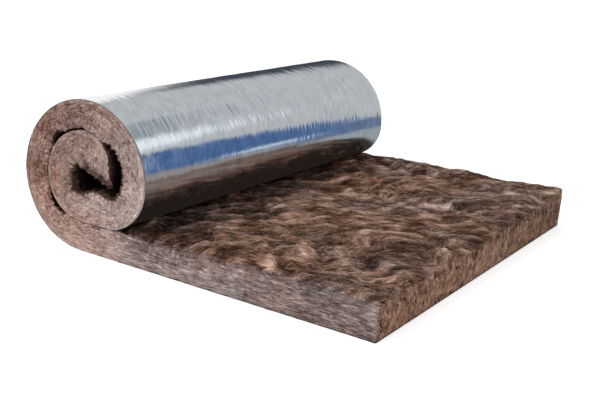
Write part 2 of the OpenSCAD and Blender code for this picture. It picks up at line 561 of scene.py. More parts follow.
def makeWool(materials):
    build = Builder()
    columns = {True: np.linspace(-1, 1, wool["flapColumns"] + 1)}
    columns[False] = np.concatenate((hiddenColumns - 1, 1 - hiddenColumns[-2::-1]))
    depths = np.linspace(0, 1, wool["layers"] + 1)
    fibre, shade = [], []        # across and along the fibres, and tone, for every point
    nearRows, farRows, topRows, bottomRows = [], [], [], []
    s = along = 0.0              # along stretches the fibres on the flap's sides
    before = None
    rollStart, rollEnd = (axisX + reach for reach in wool["rollEnds"])

    def keep(points, across, along, tone):
        index = build.add(points)
        fibre.append(np.stack([np.broadcast_to(a, index.shape).ravel() for a in (across, along)], 1))
        shade.append(np.broadcast_to(tone, index.shape).ravel())
        return index

    for run, outside, where in rollStations(wool["step"], wool["flapStep"]):
        inward = inwardOf(run, where)
        outside = outside + inward * winding["foilThick"] * (3 if run in ("outer", "tuck") else 1)
        fine = (where > axisX + wool["fineFrom"]) if run == "flap" else np.zeros(len(where), bool)
        for i in range(len(where)):
            if before is not None:
                stride = float(np.linalg.norm(outside[i] - before))
                s += stride
                along += stride * (0.3 if run == "flap" else 1)
            before = outside[i]
            cols = columns[bool(fine[i])] * halfWide
            face, ragged = freeSide(run, where[i], cols)
            across = unit(face - outside[i])
            thick = np.linalg.norm(face - outside[i], axis=1)
            face = face + across * (ragAt(s, cols) * ragged * ease(0, 0.02, thick))[:, None]
            if not topRows:
                face[:, 0] += cutRough(cols, face[:, 1], 1.0)
            thick = np.linalg.norm(face - outside[i], axis=1)
            rollShare = 1 - float(ease(rollStart, rollEnd, where[i])) if run == "flap" else 1.0
            rows = []
            for side, seed in ((0, 71), (-1, 75)):
                flat = outside[i] + (face[side] - outside[i]) * depths[:, None]
                fray = frayAt(run, s, cols[side], outside[i][1], seed)
                flat = flat - across[side] * (fray * (1 - depths) ** 6)[:, None]
                depth = depths * thick[side]
                free = 1.0 if run == "flap" else float(ragged[side])
                bevel, rim = (wool["bevel"][1], 0.0) if run == "loose" else (wool["bevel"][0], rollShare)
                proud, dark = endRelief(s, depth, thick[side], rollShare, free, bevel, rim, seed)
                y = (halfWide + proud) * (-1 if side == 0 else 1)
                block = np.stack((flat[:, 0], y, flat[:, 1]), 1)
                rows.append(keep(block, depth, along, endTone(block[:, 0], block[:, 2]) - dark))
            nearRows.append(rows[0])
            farRows.append(rows[1])
            inside = np.stack((face[1:-1, 0], cols[1:-1], face[1:-1, 1]), 1)
            # painted shade on the faces inside the gaps, darker away from the roll's ends
            deep = -0.6 - 3 * ease(0.002, 0.045, halfWide - np.abs(cols[1:-1]))
            mid = keep(inside, cols[1:-1], s, deep)
            topRows.append(np.concatenate(([rows[0][-1]], mid, [rows[1][-1]])))
            under = columns[True] if len(topRows) == 1 else columns[False]
            under = under[1:-1] * halfWide
            fray = frayAt(run, s, under, outside[i][1], 71) * (run == "loose")
            back = outside[i] - inward[i] * fray[:, None]
            block = np.column_stack((back[:, 0], under, back[:, 1]))
            # the wool's foil side: a little lighter at the outer turns' rims, and painted shade inside the
            # gaps, darker away from the ends
            rim = 0.3 if run in ("outer", "tuck") else -3
            mid = keep(block, under, s, rim - 5 * ease(0.003, 0.035, halfWide - np.abs(under)))
            bottomRows.append(np.concatenate(([rows[0][0]], mid, [rows[1][0]])))

    top, end, cut = 0, 1, 2
    build.grid(np.array(nearRows), end)
    build.grid(np.array(farRows), end, flip=True)
    for i in range(len(topRows) - 1):
        build.stitch(topRows[i], topRows[i + 1], top)
        build.stitch(bottomRows[i], bottomRows[i + 1], end, flip=True)

    # the cut end, a rough upright face between the first station's rows
    y = columns[True][1:-1] * halfWide
    rows = [bottomRows[0]]
    points = np.concatenate(build.points)
    foot, brow = points[bottomRows[0][1:-1]], points[topRows[0][1:-1]]
    for j in range(1, wool["layers"]):
        t = depths[j]
        base = foot * (1 - t) + brow * t
        base[:, 0] += cutRough(y, base[:, 2], t) - cutRough(y, brow[:, 2], 1.0) * t
        mid = keep(base, base[:, 2], y, 0)
        rows.append(np.concatenate(([nearRows[0][j]], mid, [farRows[0][j]])))
    rows.append(topRows[0])
    build.grid(np.array(rows), cut)

    # the thin torn tip: a strip, with all the points of both end columns at its ends
    lower, upper = bottomRows[-1], topRows[-1]
    build.stitch(upper[1:-1], lower[1:-1], top)
    build.face([*nearRows[-1], upper[1], lower[1]], top)
    build.face([*farRows[-1][::-1], lower[-2], upper[-2]], top)

    piece = build.piece("wool_fleece", materials)
    finishWool(piece, np.concatenate(fibre), np.concatenate(shade), top, end, cut)
    points = np.concatenate(build.points)
    faces = {"near": nearRows, "far": farRows, "cut": rows}
    return piece, {name: points[np.array(face)] for name, face in faces.items()}


# picks the wool that each face shows, and stores the fibres' run and tone at its corners
def finishWool(piece, fibre, shade, top, end, cut):
    data = piece.data
    kinds = readAll(data.polygons, "material_index")
    x, y, z = readAll(data.polygons, "center", 3).T
    reach = wool["rimReach"] * (0.6 + 1.2 * clumps(x / 0.035, y / 0.02, 86))
    rimFace = (kinds == top) & onFlap(x, z) & (halfWide - np.abs(y) < reach)
    reach = wool["cornerReach"] * (0.7 + 1.3 * clumps(z / 0.018, y / 0.03, 87))
    cornerFace = (kinds == cut) & (halfWide - np.abs(y) < reach)
    kinds[rimFace | cornerFace] = end
    data.polygons.foreach_set("material_index", kinds)
    sizes = readAll(data.polygons, "loop_total")
    cornerKind = np.repeat(kinds, sizes)
    corners = readAll(data.loops, "vertex_index")
    flow, tone = fibre[corners], shade[corners]
    # edge points are shared, so the top, its rims and the cut end work out values of their own
    x, y, z = readAll(data.vertices, "co", 3)[corners].T
    on = (cornerKind == top) & onFlap(x, z)
    flow[on] = np.stack(layAt(x[on], y[on]), 1)
    tone[on] = toneAt(x[on], y[on]) + woolShade["top"]
    on = np.repeat(rimFace, sizes)
    flow[on] = np.stack((y[on], 0.3 * x[on]), 1)
    tone[on] = endTone(x[on], z[on]) + toneAt(x[on], y[on]) + woolShade["rim"]
    on = np.repeat(cornerFace, sizes)
    flow[on] = np.stack((z[on], 0.5 * y[on]), 1)
    # painted shade: the corners darken with depth as the cut end does
    tone[on] = endTone(x[on], z[on]) + (x[on] - cutX) / woolShade["cornerHollowShade"]
    on = cornerKind == cut
    flow[on] = np.stack((y[on], z[on]), 1)
    tone[on] = cutTone(x[on], y[on], z[on])
    paint(piece, "fibreFlow", np.column_stack((flow, 0 * flow[:, 0])), "CORNER")
    paint(piece, "fibreTone", tone, "CORNER")


# loose strands: tapered three-sided wisps that lie on the wool

strandLook = {
    "taper": (0.12, 0.94),       # the part of a sine's hump that its width follows
    "blunt": 0.6,                # 1 for the plain sine, less for a fuller strand
    "shift": 0.377,              # from one strand to the next in the fibre pattern
    "shiftSpan": (7.3, 5.1),     # and where that starts over, across and along
}


def makeStrands(name, spine, up, wide, thick, tone, material):
    count, steps = spine.shape[:2]
    rings = steps - 2
    along = unit(np.gradient(spine, axis=1))
    up = np.broadcast_to(up, spine.shape)
    sideways = unit(np.cross(along, up))
    taper = np.sin(np.pi * np.linspace(*strandLook["taper"], rings)) ** strandLook["blunt"]
    half = sideways[:, 1:-1] * (wide[:, None] * taper / 2)[..., None]
    rise = up[:, 1:-1] * (thick[:, None] * taper)[..., None]
    middle = spine[:, 1:-1]
    ring = np.stack((middle - half, middle + half, middle + rise), 2).reshape(count, rings * 3, 3)
    points = np.concatenate((spine[:, :1], ring, spine[:, -1:]), 1)
    size = rings * 3 + 2
    faces = []
    for a, b in ((0, 1), (1, 2), (2, 0)):
        faces.append((0, 1 + a, 1 + b))
        faces.append((1 + 3 * (rings - 1) + a, size - 1, 1 + 3 * (rings - 1) + b))
        for k in range(rings - 1):
            low, high = 1 + 3 * k, 4 + 3 * k
            faces.append((low + a, high + a, high + b))
            faces.append((low + a, high + b, low + b))
    faces = (np.array(faces)[None] + size * np.arange(count)[:, None, None]).reshape(-1, 3)
    piece = addPiece(name, points.reshape(-1, 3).tolist(), faces.tolist(), [material])
    # each strand takes its own stretch of the fibre pattern
    reach = np.cumsum(np.linalg.norm(np.diff(spine, axis=1, prepend=spine[:, :1]), axis=2), axis=1)
    offset = np.arange(count)[:, None] * strandLook["shift"]
    spanU, spanV = strandLook["shiftSpan"]
    sides = np.concatenate((np.zeros(1), np.tile((-0.5, 0.5, 0.0), rings), np.zeros(1)))
    flowU = offset % spanU + sides[None] * wide[:, None]
    stepOf = np.concatenate(([0], np.repeat(np.arange(1, steps - 1), 3), [steps - 1]))
    flowV = offset % spanV + reach[:, stepOf]
    paint(piece, "fibreFlow", np.stack((flowU, flowV, 0 * flowU), 2).reshape(-1, 3))
    paint(piece, "fibreTone", np.repeat(tone, size))
    return piece


# tufts on the flap: each is a loose fan of strands

locks = {
    "seed": 17,
    "tufts": 780,
    "perTuft": 14,
    "start": 0.125,              # nearest middle of a tuft to the roll's axis
    "margins": 0.130,            # bare length, at both ends together
    "nearest": 0.105,            # nearest strand
    "stray": 0.62,               # how far a tuft leans out of the lay, in radians
    "strandStray": 0.28,         # and a strand out of its tuft
    "spread": (0.014, 0.030),    # strands about their tuft, across and along
    "fan": 7.0,                  # radians for each metre off the tuft's middle
    "bend": (5.0, 6.0),          # radians for each metre of strand: a tuft's, and a strand's own
    "long": (0.030, 0.105),
    "wide": (0.0007, 0.0018),
    "thick": (0.0004, 0.0009),
    "lift": 0.0022,
    "dip": 0.0012,               # how far its two ends go into the mat
    "clearRoll": 0.003,
    "clearFloor": 0.004,
    "toneStray": (0.45, 0.70),   # from tuft to tuft, and from strand to strand
    "fringe": 0.02,              # share of the strands that may hang past an edge
    "stickOut": 0.25,            # of the length past the edge, how much sticks out and how much hangs
    "hang": 0.8,
}


def makeLocks(material):
    rng = np.random.default_rng(locks["seed"])
    tufts, each = locks["tufts"], locks["perTuft"]
    tuftX = axisX + locks["start"] + (flapLength - locks["margins"]) * rng.random(tufts)
    tuftY = halfWide * (2 * rng.random(tufts) - 1)
    lean = headingAt(tuftX, tuftY) + locks["stray"] * rng.normal(size=tufts)
    bend = locks["bend"][0] * rng.normal(size=tufts)
    tone = locks["toneStray"][0] * rng.normal(size=tufts)
    count = tufts * each
    owner = np.repeat(np.arange(tufts), each)
    off = locks["spread"][0] * rng.normal(size=count)
    ahead = locks["spread"][1] * rng.normal(size=count)
    fan = locks["fan"] * rng.choice((-1, 1), tufts)[owner]
    heading = lean[owner] + fan * off + locks["strandStray"] * rng.normal(size=count)
    long = between(rng, locks["long"], count)
    bend = bend[owner] + locks["bend"][1] * rng.normal(size=count)
    t = np.linspace(0, 1, 5)
    turn = heading[:, None] + bend[:, None] * long[:, None] * (t - 0.5)
    stepX, stepY = np.cos(turn) * long[:, None] / 4, np.sin(turn) * long[:, None] / 4
    sine, cosine = np.sin(lean[owner]), np.cos(lean[owner])
    x = (tuftX[owner] - off * sine + ahead * cosine)[:, None] + np.cumsum(stepX, 1)
    y = (tuftY[owner] + off * cosine + ahead * sine)[:, None] + np.cumsum(stepY, 1)
    x = x - stepX.sum(1, keepdims=True) / 2
    y = y - stepY.sum(1, keepdims=True) / 2
    x = np.maximum(x, axisX + locks["nearest"])
    # most strands are pulled back in from the edges; the rest hang over and down
    kept = rng.random(count) > locks["fringe"]
    pullX = np.where(kept, np.maximum(x.max(1) - cutX, 0), 0)
    pullY = np.where(kept, np.maximum(np.abs(y).max(1) - halfWide, 0), 0) * np.sign(y.mean(1))
    x, y = x - pullX[:, None], y - pullY[:, None]
    overX, overY = np.maximum(x - cutX, 0), np.maximum(np.abs(y) - halfWide, 0)
    x = np.minimum(x, cutX + locks["stickOut"] * overX)
    y = np.sign(y) * np.minimum(np.abs(y), halfWide + locks["stickOut"] * overY)
    lift = locks["lift"] * rng.random(count)[:, None] * np.sin(np.pi * t)
    lift = lift - locks["dip"] * (2 * t - 1) ** 2
    z = flapTop(x, y) + lift - locks["hang"] * (overX + overY)
    z = np.minimum(z, rollUnderside(x) - locks["clearRoll"])
    z = np.maximum(z, locks["clearFloor"])
    tone = tone[owner] + toneAt(x[:, 2], y[:, 2]) + locks["toneStray"][1] * rng.normal(size=count)
    wide, thick = between(rng, locks["wide"], count), between(rng, locks["thick"], count)
    return makeStrands("wool_locks", np.stack((x, y, z), 2), (0, 0, 1), wide, thick, tone, material)


# short fibres on the two ends of the roll

fuzz = {
    "seed": 23,
    "count": 5300,               # on each end
    "long": (0.010, 0.036),
    "wide": (0.0004, 0.0011),
    "thick": (0.0003, 0.0007),
    "lift": 0.0012,
    "stray": (0.14, 0.50),       # lean off the turns, in radians, on the flap's sides and on the roll
    "sideReach": 0.2,            # the first gives way to the second over this much, from the roll's axis
    "tone": 0.4,
    "toneStray": 0.75,
}


def onGrid(grid, u, v):  # spot on a face's grid of points, between its lines
    u = np.clip(u, 0, grid.shape[0] - 1.001)
    v = np.clip(v, 0, grid.shape[1] - 1.001)
    iu, iv = u.astype(int), v.astype(int)
    fu, fv = (u - iu)[..., None], (v - iv)[..., None]
    low = grid[iu, iv] * (1 - fv) + grid[iu, iv + 1] * fv
    high = grid[iu + 1, iv] * (1 - fv) + grid[iu + 1, iv + 1] * fv
    return low * (1 - fu) + high * fu


def scatter(rng, grid, count, long, stray, up, lift):  # spines that lie on a face, mostly along its rows
    stepU = np.linalg.norm(grid[1:, :-1] - grid[:-1, :-1], axis=2)
    stepV = np.linalg.norm(grid[:-1, 1:] - grid[:-1, :-1], axis=2)
    share = (stepU * stepV).ravel()
    cell = rng.choice(share.size, count, p=share / share.sum())
    u, v = np.unravel_index(cell, stepU.shape)
    length = between(rng, long, count)
    lean = (stray if np.isscalar(stray) else stray[u]) * rng.normal(size=count)
    t = np.linspace(-0.5, 0.5, 5)
    bow = lean[:, None] + 0.5 * rng.normal(size=count)[:, None] * t
    runU = length[:, None] * t * np.cos(bow) / np.maximum(stepU[u, v], 5e-4)[:, None]
    runV = length[:, None] * t * np.sin(bow) / np.maximum(stepV[u, v], 5e-4)[:, None]
    spots = onGrid(grid, (u + rng.random(count))[:, None] + runU, (v + rng.random(count))[:, None] + runV)
    height = lift * rng.random(count)[:, None] * (1 - 4 * t ** 2) - 0.0005 * 4 * t ** 2
    return spots + np.asarray(up, float) * height[..., None]


def makeFuzz(faces, material):
    rng = np.random.default_rng(fuzz["seed"])
    spines, ups = [], []
    level, loose = fuzz["stray"]
    for side, up in (("near", (0, -1, 0)), ("far", (0, 1, 0))):
        outer = faces[side][:, 0]
        onSide = (outer[:, 2] < 0.003) * ease(axisX, axisX + fuzz["sideReach"], outer[:, 0])
        stray = mix((loose, level), onSide)
        spines.append(scatter(rng, faces[side], fuzz["count"], fuzz["long"], stray, up, fuzz["lift"]))
        ups.append(np.broadcast_to(np.array(up, float), spines[-1].shape))
    count = 2 * fuzz["count"]
    spines = np.concatenate(spines)
    wide, thick = between(rng, fuzz["wide"], count), between(rng, fuzz["thick"], count)
    tone = fuzz["tone"] + endTone(spines[:, 2, 0], spines[:, 2, 2])
    tone = tone + fuzz["toneStray"] * rng.normal(size=count)
    return makeStrands("wool_fuzz", spines, np.concatenate(ups), wide, thick, tone, material)


# fibres of the cut end, a third of them level and the rest upright

cutFibres = {
    "seed": 31,
    "count": 2800,
    "long": (0.008, 0.030),
    "wide": (0.0005, 0.0012),
    "lift": 0.0015,
    "stray": (0.30, 0.35),       # lean of the level and the upright ones, in radians
    "tone": 0.3,
    "toneStray": 0.4,
}


def makeCutFibres(face, material):
    rng = np.random.default_rng(cutFibres["seed"])
    out = (1.0, 0, 0)
    count, long, lift = cutFibres["count"], cutFibres["long"], cutFibres["lift"]
    third = count // 3
    level = scatter(rng, face.transpose(1, 0, 2), third, long, cutFibres["stray"][0], out, lift)
    upright = scatter(rng, face, count - third, long, cutFibres["stray"][1], out, lift)
    wide = between(rng, cutFibres["wide"], count)
    tone = cutFibres["tone"] + cutFibres["toneStray"] * rng.normal(size=count)
    spines = np.concatenate((level, upright))
    return makeStrands("wool_cut_fibres", spines, out, wide, wide * 0.5, tone, material)


# loose ends along the flap's upper edges

fringe = {
    "seed": 37,
    "perMetre": 650,
    "inside": (0.004, 0.022),    # how much of a strand lies on the top, and how much hangs over the edge
    "down": (0.002, 0.014),
    "lean": 0.011,
    "wide": (0.0005, 0.0014),
    "flat": 0.35,                # thickness as a share of the width
    "lift": 0.0006,
    "toneStray": 0.6,
    "start": 0.15,               # nearest to the roll's axis
    "corner": 0.012,             # left bare at the cut end's corners
}


def makeFringe(name, start, end, outward, rng, material):
    count = int(fringe["perMetre"] * np.linalg.norm(np.subtract(end, start)))
    share = rng.random(count)[:, None]
    root = np.array(start) * (1 - share) + np.array(end) * share
    along = np.array((-outward[1], outward[0]))
    lean = fringe["lean"] * rng.normal(size=count)
    inside, down = between(rng, fringe["inside"], count), between(rng, fringe["down"], count)
    level = np.zeros(count)
    spots = []
    # from the strand's root on the top, over the edge, to its tip
    for step, reach, drop in (
        (-1.0, -inside, level),
        (-0.2, level - 0.0025, level),
        (0.2, level + 0.0015, 0.3 * down),
        (1.0, level + 0.0025, 0.003 + down),
    ):
        flat = root + along * (step * lean)[:, None] + np.array(outward) * reach[:, None]
        x, y = np.minimum(flat[:, 0], cutX), np.clip(flat[:, 1], -halfWide, halfWide)
        spots.append(np.column_stack((flat, flapTop(x, y) + fringe["lift"] - drop)))
    wide = between(rng, fringe["wide"], count)
    tone = toneAt(root[:, 0], root[:, 1]) + fringe["toneStray"] * rng.normal(size=count)
    up = np.array((0.7 * outward[0], 0.7 * outward[1], 0.7))
    return makeStrands(name, np.stack(spots, 1), up, wide, wide * fringe["flat"], tone, material)


def makeFringes(sideMaterial, cutMaterial):
    rng = np.random.default_rng(fringe["seed"])
    start = axisX + fringe["start"]
    end, reach = cutX - fringe["corner"], halfWide - fringe["corner"]
    near = makeFringe("fringe_near", (start, -halfWide), (end, -halfWide), (0, -1), rng, sideMaterial)
    far = makeFringe("fringe_far", (start, halfWide), (end, halfWide), (0, 1), rng, sideMaterial)
    cut = makeFringe("fringe_cut", (cutX, -reach), (cutX, reach), (1, 0), rng, cutMaterial)
    return [near, far, cut]


# foil facing

foil = {
    "step": 0.0075,         # spacing of stations round the roll
    "flapStep": 0.02,
    "columns": 540,         # along the outer turn
    "plainColumns": 16,     # where it is hidden
    "crease": 0.00042,      # height of the fine creases that run round the roll
    "creaseGap": 0.010,
    "creaseRun": 0.075,
    "slant": 0.16,
    "strongSize": (0.16, 0.22),      # patches where they are strong
    "aslant": 0.00034,      # height of the short creases that run aslant, in patches
    "aslantSize": (0.0135, 0.070),
    "aslantPatch": (0.19, 0.26),
    "calm": 0.6,            # how much the creases fade low on the near half
    "calmRun": (1.53, 1.58),         # where that starts, along the foil
    "calmSide": (-0.20, 0.25),       # and where it ends, along the roll
    "wave": 0.0007,         # slow waves under the creases
    "waveSize": (0.13, 0.10),
    "foldPatch": (0.17, 0.24),       # patches of fine ripples, which are not in the foil's shape: a painted sheen in its colour
    "foldSize": (0.0095, 0.045),
    "rippleSize": (0.006, 0.050),
    "setIn": {              # how far the foil stays inside the wool's ends
        "flap": 0.0035, "outer": 0.0022, "tuck": 0.0015,
        "flat": 0.0040, "inner": 0.0026, "loose": 0.0500,
    },
    "closes": (-125, -100),          # degrees over which the wool closes over it at the top
    "shortAtTip": 0.018,    # bare wool at the torn inner end
    "tints": ((0.2, (0.70, 0.72, 0.74, 1)), (0.5, (0.83, 0.845, 0.86, 1)), (0.8, (0.95, 0.96, 0.97, 1))),
    # painted shade: the foil inside the roll, near black as it is in the dark there
    "hiddenShade": (0.03, 0.022, 0.018, 1),
    "combScale": (260.0, 16.0, 1.0),     # of the fine lines in its sheen, across and along
    "mottleScale": (30.0, 22.0, 1.0),    # and of its dull patches
    # how strongly the painted sheen of the ripples shows in the colour
    "foldSheenTint": 0.35,
    "rough": (0.08, 0.16),
    "bump": 0.0003,
}


def creaseAt(s, y):
    strong = 0.35 + 0.65 * ease(-0.35, 0.35, grain(*sized(s, y, foil["strongSize"]), 91))
    calm = 1 - foil["calm"] * ease(*foil["calmRun"], s) * (1 - ease(*foil["calmSide"], y))
    gap, run = foil["creaseGap"], foil["creaseRun"]
    fine = grain((y + foil["slant"] * s) / gap, s / run, 92)
    fine = fine + 0.5 * grain((y - 0.1 * s) / (0.6 * gap), s / (0.7 * run), 93)
    patch = ease(-0.05, 0.35, grain(*sized(s, y, foil["aslantPatch"]), 95))
    aslant = grain(*sized(y + 0.8 * s, s - 0.8 * y, foil["aslantSize"]), 96)
    slow = clumps(*sized(s, y, foil["waveSize"]), 94, 2)
    creased = foil["crease"] * strong * fine + foil["aslant"] * patch * aslant
    return calm * creased + foil["wave"] * (slow + 0.6)


def foldAt(s, y):  # painted sheen of fine ripples: patches where the foil's colour is a little lighter and darker
    patch = ease(-0.25, 0.35, grain(*sized(s, y, foil["foldPatch"]), 97))
    folds = grain(*sized(y + 0.7 * s, s - 0.7 * y, foil["foldSize"]), 98)
    return patch * (folds + 0.4 * grain(*sized(y, s, foil["rippleSize"]), 99))


def makeFoil(material):
    build = Builder()
    fineCols = np.linspace(-1, 1, foil["columns"] + 1)
    plainCols = np.linspace(-1, 1, foil["plainColumns"] + 1)
    outerRows, innerRows, marks, folds = [], [], [], []
    s, before = 0.0, None

    def keep(points, cols, s, hidden, fold):
        marks.append(np.stack((cols, cols * 0 + s, cols * 0 + hidden), 1))
        folds.append(fold)
        return build.add(points)

    for run, outside, where in rollStations(foil["step"], foil["flapStep"]):
        inward = inwardOf(run, where)
        shown = run in ("outer", "tuck")
        hidden = 0 if shown else 1
        for i in range(len(where)):
            if run == "loose" and (where[i] + endReach) * endRadius < foil["shortAtTip"]:
                break
            if before is not None:
                s += float(np.linalg.norm(outside[i] - before))
            before = outside[i]
            setIn = foil["setIn"][run]
            if run == "inner":   # the wool of both turns closes over the foil at the top
                closed = float(ease(*foil["closes"], -math.degrees(where[i])))
                setIn = mix((setIn, foil["setIn"]["loose"]), closed)
            reach = halfWide - setIn
            cols = (fineCols if shown else plainCols) * reach
            lift = creaseAt(s, cols) * float(ease(0.004, 0.03, outside[i][1])) if shown else cols * 0
            x, z = (outside[i][k] - inward[i][k] * lift for k in (0, 1))
            outerRows.append(keep(np.stack((x, cols, z), 1), cols, s, hidden, foldAt(s, cols)))
            deep = outside[i] + inward[i] * winding["foilThick"] * 1.4
            cols = plainCols * reach
            block = np.stack((cols * 0 + deep[0], cols, cols * 0 + deep[1]), 1)
            innerRows.append(keep(block, cols, s, hidden, cols * 0))
    for i in range(len(outerRows) - 1):
        build.stitch(outerRows[i], outerRows[i + 1], 0, flip=True)
        build.stitch(innerRows[i], innerRows[i + 1], 0)
        for side, flip in ((0, False), (-1, True)):
            a, b = outerRows[i][side], outerRows[i + 1][side]
            c, d = innerRows[i + 1][side], innerRows[i][side]
            build.face((a, b, c, d) if flip else (d, c, b, a), 0)
    build.stitch(outerRows[0], innerRows[0], 0)
    build.stitch(outerRows[-1], innerRows[-1], 0, flip=True)
    piece = build.piece("foil_skin", [material])
    paint(piece, "foilRun", np.concatenate(marks))
    paint(piece, "foilFoldSheen", np.concatenate(folds))
    return piece


# materials

def fill(tree, node, inputs):  # sets a node's inputs, or links them
    for key, value in inputs.items():
        if isinstance(value, bpy.types.NodeSocket):
            tree.links.new(value, node.inputs[key])
        else:
            node.inputs[key].default_value = value


def put(tree, kind, inputs=None, **settings):  # adds one node
    node = tree.nodes.new(kind)
    for key, value in settings.items():
        setattr(node, key, value)
    fill(tree, node, inputs or {})
    return node


def newMaterial(name):
    material = bpy.data.materials.new(name)
    material.use_nodes = True
    tree = material.node_tree
    return material, tree, tree.nodes["Principled BSDF"]


def readPaint(tree, name, output):
    return put(tree, "ShaderNodeAttribute", attribute_name=name).outputs[output]


def maths(tree, operation, *values):
    return put(tree, "ShaderNodeMath", dict(enumerate(values)), operation=operation).outputs[0]


def stretchedNoise(tree, vector, scale, detail=3.0, rough=0.6, curl=0.0):
    place = put(tree, "ShaderNodeVectorMath", {0: vector, 1: scale}, operation="MULTIPLY").outputs[0]
    inputs = {"Vector": place, "Scale": 1.0, "Detail": detail, "Roughness": rough, "Distortion": curl}
    return put(tree, "ShaderNodeTexNoise", inputs).outputs["Fac"]


def weigh(tree, parts):  # sum of sockets times weights
    total = 0.0
    for socket, weight in parts:
        total = maths(tree, "MULTIPLY_ADD", socket, weight, total)
    return total


def remap(tree, value, low, high, toLow, toHigh):
    ends = {"Value": value, "From Min": low, "From Max": high, "To Min": toLow, "To Max": toHigh}
    return put(tree, "ShaderNodeMapRange", ends, interpolation_type="SMOOTHSTEP").outputs["Result"]


def ramp(tree, factor, stops):
    node = put(tree, "ShaderNodeValToRGB", {"Fac": factor})
    elements = node.color_ramp.elements
    while len(elements) < len(stops):
        elements.new(0.5)
    for element, (place, colour) in zip(elements, stops):
        element.position = place
        element.color = colour
    return node.outputs["Color"]


def bumps(tree, strength, distance, height):
    inputs = {"Strength": strength, "Distance": distance, "Height": height}
    return put(tree, "ShaderNodeBump", inputs).outputs["Normal"]


# colours run from deep shade to light fleck; streak and fine are scales of the fibre pattern, across and
# along; the saturation drifts over the wool, and changes along the flap as pale says: from, to, before, after
woolLooks = {
    "wool_top": {
        "stops": (
            (0.25, rgb(16, 10, 8)), (0.375, rgb(46, 32, 26)), (0.463, rgb(104, 80, 69)),
            (0.545, rgb(168, 138, 123)), (0.66, rgb(222, 196, 180)),
        ),
        "streak": (180.0, 14.0, 1.0), "fine": (800.0, 34.0, 1.0), "mix": (0.45, 0.35, 0.2), "curl": 2.0,
        "tone": 0.050, "bump": 0.0022,
        "drift": (0.9, 1.2), "pale": (0.2, 0.79, 1.03, 0.94),
    },
    "wool_end": {
        "stops": (
            (0.25, rgb(26, 18, 15)), (0.38, rgb(74, 55, 49)), (0.465, rgb(136, 112, 105)),
            (0.545, rgb(188, 165, 157)), (0.66, rgb(230, 212, 205)),
        ),
        "streak": (320.0, 80.0, 1.0), "fine": (900.0, 150.0, 1.0), "mix": (0.5, 0.35, 0.15), "curl": 1.4,
        "tone": 0.035, "bump": 0.003,
        "drift": (0.85, 1.15), "pale": (-0.05, 0.25, 1.24, 0.80),
    },
    "wool_cut": {
        "stops": (
            (0.26, rgb(22, 13, 10)), (0.39, rgb(62, 43, 34)), (0.47, rgb(124, 97, 84)),
            (0.55, rgb(176, 144, 126)), (0.68, rgb(222, 196, 178)),
        ),
        "streak": (170.0, 32.0, 1.0), "fine": (460.0, 90.0, 1.0), "mix": (0.45, 0.35, 0.2), "curl": 1.0,
        "tone": 0.045, "bump": 0.003,
        "drift": (0.95, 1.05), "pale": (0.2, 0.79, 1.08, 1.08),
    },
}


woolFinish = {   # the same for all three
    "blotchScale": (34.0, 34.0, 34.0),
    "driftScale": (5.0, 5.0, 5.0),
    "rough": 0.95,
    "specular": 0.1,
}


def woolMaterial(name):
    look = woolLooks[name]
    material, tree, shader = newMaterial(name)
    flow, tone = readPaint(tree, "fibreFlow", "Vector"), readPaint(tree, "fibreTone", "Fac")
    streak = stretchedNoise(tree, flow, look["streak"], 4.0, curl=look["curl"])
    fine = stretchedNoise(tree, flow, look["fine"], 3.0, curl=look["curl"])
    place = put(tree, "ShaderNodeTexCoord").outputs["Object"]
    blotch = stretchedNoise(tree, place, woolFinish["blotchScale"], 3.0)
    mixed = weigh(tree, (*zip((streak, fine, blotch), look["mix"]), (tone, look["tone"])))
    drift = stretchedNoise(tree, place, woolFinish["driftScale"], 2.0)
    drift = remap(tree, drift, 0.35, 0.65, *look["drift"])
    spot = put(tree, "ShaderNodeSeparateXYZ", {0: place}).outputs["X"]
    start, end, before, after = look["pale"]
    pale = remap(tree, spot, axisX + start, axisX + end, before, after)
    tint = {"Saturation": maths(tree, "MULTIPLY", drift, pale), "Color": ramp(tree, mixed, look["stops"])}
    fill(tree, shader, {
        "Base Color": put(tree, "ShaderNodeHueSaturation", tint).outputs["Color"],
        "Normal": bumps(tree, 1.0, look["bump"], weigh(tree, ((streak, 0.6), (fine, 0.6)))),
        "Roughness": woolFinish["rough"],
        "Specular IOR Level": woolFinish["specular"],
    })
    return material


def foilMaterial():
    material, tree, shader = newMaterial("bright_foil")
    run, fold = readPaint(tree, "foilRun", "Vector"), readPaint(tree, "foilFoldSheen", "Fac")
    comb = stretchedNoise(tree, run, foil["combScale"], 3.0)
    mottle = stretchedNoise(tree, run, foil["mottleScale"], 3.0)
    # colour from the mottle, with the painted sheen of the fine ripples
    tint = ramp(tree, weigh(tree, ((mottle, 1.0), (fold, foil["foldSheenTint"]))), foil["tints"])
    hidden = put(tree, "ShaderNodeSeparateXYZ", {0: run}).outputs["Z"]
    # painted shade: the foil inside the roll is painted near black
    shadeInside = {"Factor": hidden, "A": tint, "B": foil["hiddenShade"]}
    fill(tree, shader, {
        "Base Color": put(tree, "ShaderNodeMix", shadeInside, data_type="RGBA").outputs["Result"],
        "Roughness": remap(tree, mottle, 0.3, 0.7, *foil["rough"]),
        "Normal": bumps(tree, 0.5, foil["bump"], comb),
        "Metallic": 1.0,
    })
    return material


topWool, endWool, cutWool = (woolMaterial(name) for name in woolLooks)
woolPiece, woolFaces = makeWool([topWool, endWool, cutWool])
print("wool:", len(woolPiece.data.polygons), "faces")
strandPieces = [
    makeLocks(topWool),
    makeFuzz(woolFaces, endWool),
    makeCutFibres(woolFaces["cut"], cutWool),
    *makeFringes(endWool, cutWool),
]
print("strands:", [len(piece.data.polygons) for piece in strandPieces], "faces")
foilPiece = makeFoil(foilMaterial())
print("foil:", len(foilPiece.data.polygons), "faces")

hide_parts("wool_blanket")
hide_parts("foil_facing")
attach(foilPiece, "root")
for piece in [woolPiece] + strandPieces:
    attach(piece, "root")


# stage: floor, reflectors for the foil, lights and camera

